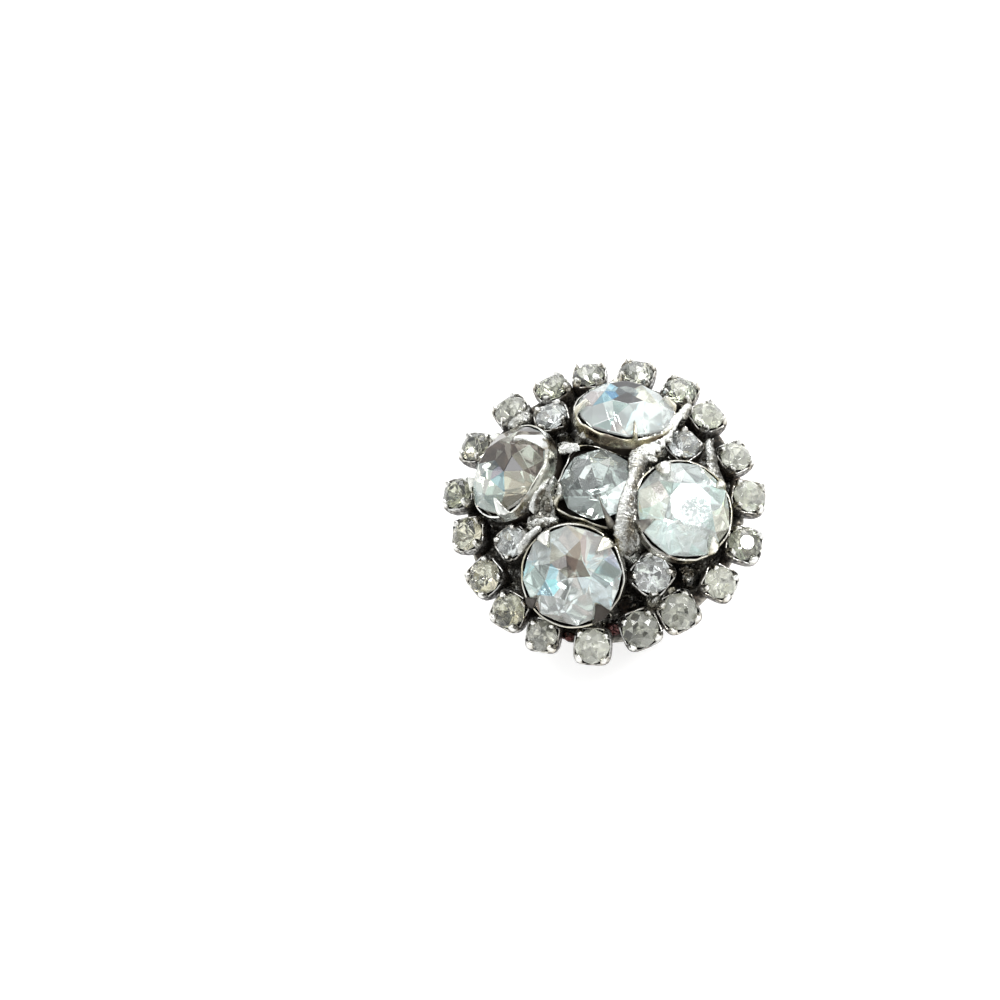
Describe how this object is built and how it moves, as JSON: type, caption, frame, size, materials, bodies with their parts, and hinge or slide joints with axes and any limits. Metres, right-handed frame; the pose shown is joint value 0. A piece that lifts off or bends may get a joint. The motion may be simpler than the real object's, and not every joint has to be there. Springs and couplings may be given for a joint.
{
  "type": "clip-on earring",
  "caption": "Round domed clip-on earring with claw-set cut glass stones on a soldered frame and a bent ear clip.",
  "frame": {"origin": "on the surface that the earring rests on, below the middle of its box", "axes": "+Z out of the earring's face along the dome's axis, +X towards the clip's bend, +Y across the clip"},
  "size_m": [0.0304, 0.0303, 0.0165],
  "materials": {
    "aged_metal": "silver-grey plated metal, tarnished warm brown in the hollows",
    "clip_metal": "satin plated steel, lightly worn",
    "clear_glass": "clear cut glass with a silver foil back",
    "aged_glass": "cut glass with an aged, yellowed foil back"
  },
  "bodies": {
    "root": {"setting_frame": "aged_metal", "ear_clip": "clip_metal", "centre_stone": "clear_glass", "large_stone_right": "clear_glass", "large_stone_top": "clear_glass", "large_stone_left": "clear_glass", "large_stone_bottom": "clear_glass", "accent_stone_1": "clear_glass", "accent_stone_2": "clear_glass", "accent_stone_3": "clear_glass", "accent_stone_4": "clear_glass", "ring_stone_1": "aged_glass", "ring_stone_2": "aged_glass", "ring_stone_3": "aged_glass", "ring_stone_4": "aged_glass", "ring_stone_5": "aged_glass", "ring_stone_6": "aged_glass", "ring_stone_7": "aged_glass", "ring_stone_8": "aged_glass", "ring_stone_9": "aged_glass", "ring_stone_10": "aged_glass", "ring_stone_11": "aged_glass", "ring_stone_12": "aged_glass", "ring_stone_13": "aged_glass", "ring_stone_14": "aged_glass", "ring_stone_15": "aged_glass", "ring_stone_16": "aged_glass", "ring_stone_17": "aged_glass", "ring_stone_18": "aged_glass", "ring_stone_19": "aged_glass"}
  },
  "joints": []
}
